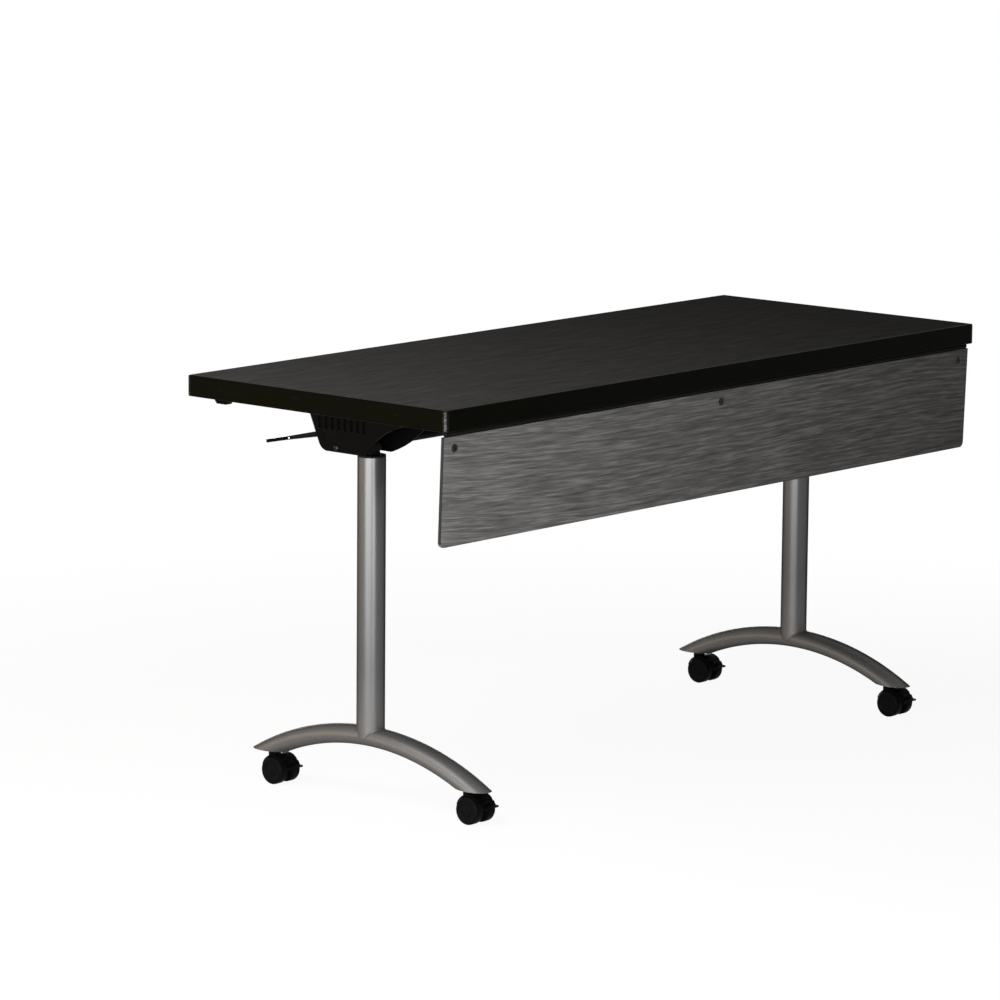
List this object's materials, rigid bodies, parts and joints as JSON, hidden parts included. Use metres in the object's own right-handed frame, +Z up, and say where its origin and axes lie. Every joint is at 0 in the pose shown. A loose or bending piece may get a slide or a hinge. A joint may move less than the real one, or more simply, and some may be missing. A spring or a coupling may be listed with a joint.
{
  "type": "flip-top training table",
  "caption": "Long flip-top training table with a tilting laminate top, hinged modesty panel, column legs on arched feet and locking casters.",
  "frame": {"origin": "on the floor under the middle of the top", "axes": "+X along the table, -Y towards the modesty panel, +Y towards the user, +Z up"},
  "size_m": [1.524, 0.61, 0.749],
  "materials": {
    "silver_paint": "satin silver powder coat",
    "cast_head": "black cast",
    "bright_steel": "zinc plated",
    "black_steel": "black oxide",
    "black_paint": "black powder coat",
    "black_vinyl": "satin black vinyl",
    "black_moulding": "moulded black nylon",
    "bush_plastic": "natural acetal",
    "particle_board": "pressed board",
    "grey_laminate": "streaked charcoal laminate",
    "dark_backer": "phenolic backer sheet",
    "caster_wheel": "black nylon wheel"
  },
  "bodies": {
    "base": {"left_foot": "silver_paint", "right_foot": "silver_paint", "left_column": "silver_paint", "right_column": "silver_paint", "left_leg_head": "cast_head", "right_leg_head": "cast_head", "foot_end_plates": "silver_paint", "caster_sockets": "bright_steel", "leg_head_set_screws": "black_steel", "pivot_tube": "black_paint"},
    "top": {"top_core": "particle_board", "top_laminate": "grey_laminate", "top_backer": "dark_backer", "edge_moulding": "black_vinyl", "left_tilt_housing": "black_moulding", "right_tilt_housing": "black_moulding", "pivot_bushes": "bush_plastic", "housing_screws": "black_steel", "cover_screws": "black_steel", "nesting_bumpers": "black_vinyl", "bumper_screws": "black_steel", "panel_brackets": "black_paint", "bracket_screws": "black_steel", "panel_hinge_pins": "black_paint", "latch_springs": "bright_steel"},
    "release": {"release_shaft": "bright_steel", "left_release_lever": "black_paint", "right_release_lever": "black_paint", "left_lever_grip": "black_vinyl", "right_lever_grip": "black_vinyl"},
    "panel": {"modesty_panel": "grey_laminate", "panel_hinge_leaves": "black_paint", "panel_screws": "black_steel", "panel_nuts": "bright_steel"},
    "front_left_caster": {"front_left_hood": "black_moulding", "front_left_stem": "bright_steel", "front_left_axle": "bright_steel"},
    "front_left_outer_wheel_body": {"front_left_outer_wheel": "caster_wheel"},
    "front_left_inner_wheel_body": {"front_left_inner_wheel": "caster_wheel"},
    "front_left_pedal": {"front_left_brake_pedal": "black_moulding"},
    "front_right_caster": {"front_right_hood": "black_moulding", "front_right_stem": "bright_steel", "front_right_axle": "bright_steel"},
    "front_right_outer_wheel_body": {"front_right_outer_wheel": "caster_wheel"},
    "front_right_inner_wheel_body": {"front_right_inner_wheel": "caster_wheel"},
    "front_right_pedal": {"front_right_brake_pedal": "black_moulding"},
    "back_left_caster": {"back_left_hood": "black_moulding", "back_left_stem": "bright_steel", "back_left_axle": "bright_steel"},
    "back_left_outer_wheel_body": {"back_left_outer_wheel": "caster_wheel"},
    "back_left_inner_wheel_body": {"back_left_inner_wheel": "caster_wheel"},
    "back_left_pedal": {"back_left_brake_pedal": "black_moulding"},
    "back_right_caster": {"back_right_hood": "black_moulding", "back_right_stem": "bright_steel", "back_right_axle": "bright_steel"},
    "back_right_outer_wheel_body": {"back_right_outer_wheel": "caster_wheel"},
    "back_right_inner_wheel_body": {"back_right_inner_wheel": "caster_wheel"},
    "back_right_pedal": {"back_right_brake_pedal": "black_moulding"}
  },
  "joints": [
    {"name": "top_tilt", "type": "hinge", "parent": "base", "child": "top", "pos_m": [0, 0.012, 0.643], "axis": [1, 0, 0], "range_deg": [0, 90]},
    {"name": "panel_swing", "type": "hinge", "parent": "top", "child": "panel", "pos_m": [0, -0.2935, 0.7065], "axis": [1, 0, 0], "range_deg": [-90, 0]},
    {"name": "release_pull", "type": "hinge", "parent": "top", "child": "release", "pos_m": [0, 0.06, 0.686], "axis": [1, 0, 0], "range_deg": [0, 12], "stiffness_Nm_per_rad": 3, "springref_deg": -11.46, "deforming": ["latch_springs"]},
    {"name": "front_left_swivel", "type": "hinge", "parent": "base", "child": "front_left_caster", "pos_m": [-0.612, -0.233, 0.05], "axis": [0, 0, 1], "continuous": true},
    {"name": "front_left_outer_wheel_spin", "type": "hinge", "parent": "front_left_caster", "child": "front_left_outer_wheel_body", "pos_m": [-0.612, -0.248, 0.025], "axis": [1, 0, 0], "continuous": true},
    {"name": "front_left_inner_wheel_spin", "type": "hinge", "parent": "front_left_caster", "child": "front_left_inner_wheel_body", "pos_m": [-0.612, -0.248, 0.025], "axis": [1, 0, 0], "continuous": true},
    {"name": "front_left_brake", "type": "hinge", "parent": "front_left_caster", "child": "front_left_pedal", "pos_m": [-0.612, -0.27208, 0.0389], "axis": [1, 0, 0], "range_deg": [0, 10]},
    {"name": "front_right_swivel", "type": "hinge", "parent": "base", "child": "front_right_caster", "pos_m": [0.612, -0.233, 0.05], "axis": [0, 0, 1], "continuous": true},
    {"name": "front_right_outer_wheel_spin", "type": "hinge", "parent": "front_right_caster", "child": "front_right_outer_wheel_body", "pos_m": [0.612, -0.248, 0.025], "axis": [1, 0, 0], "continuous": true},
    {"name": "front_right_inner_wheel_spin", "type": "hinge", "parent": "front_right_caster", "child": "front_right_inner_wheel_body", "pos_m": [0.612, -0.248, 0.025], "axis": [1, 0, 0], "continuous": true},
    {"name": "front_right_brake", "type": "hinge", "parent": "front_right_caster", "child": "front_right_pedal", "pos_m": [0.612, -0.27208, 0.0389], "axis": [1, 0, 0], "range_deg": [0, 10]},
    {"name": "back_left_swivel", "type": "hinge", "parent": "base", "child": "back_left_caster", "pos_m": [-0.612, 0.233, 0.05], "axis": [0, 0, 1], "continuous": true},
    {"name": "back_left_outer_wheel_spin", "type": "hinge", "parent": "back_left_caster", "child": "back_left_outer_wheel_body", "pos_m": [-0.612, 0.218, 0.025], "axis": [1, 0, 0], "continuous": true},
    {"name": "back_left_inner_wheel_spin", "type": "hinge", "parent": "back_left_caster", "child": "back_left_inner_wheel_body", "pos_m": [-0.612, 0.218, 0.025], "axis": [1, 0, 0], "continuous": true},
    {"name": "back_left_brake", "type": "hinge", "parent": "back_left_caster", "child": "back_left_pedal", "pos_m": [-0.612, 0.19392, 0.0389], "axis": [1, 0, 0], "range_deg": [0, 10]},
    {"name": "back_right_swivel", "type": "hinge", "parent": "base", "child": "back_right_caster", "pos_m": [0.612, 0.233, 0.05], "axis": [0, 0, 1], "continuous": true},
    {"name": "back_right_outer_wheel_spin", "type": "hinge", "parent": "back_right_caster", "child": "back_right_outer_wheel_body", "pos_m": [0.612, 0.218, 0.025], "axis": [1, 0, 0], "continuous": true},
    {"name": "back_right_inner_wheel_spin", "type": "hinge", "parent": "back_right_caster", "child": "back_right_inner_wheel_body", "pos_m": [0.612, 0.218, 0.025], "axis": [1, 0, 0], "continuous": true},
    {"name": "back_right_brake", "type": "hinge", "parent": "back_right_caster", "child": "back_right_pedal", "pos_m": [0.612, 0.19392, 0.0389], "axis": [1, 0, 0], "range_deg": [0, 10]}
  ],
  "couplings": [
    {"joint": "panel_swing", "follows": "top_tilt", "ratio": -1}
  ]
}
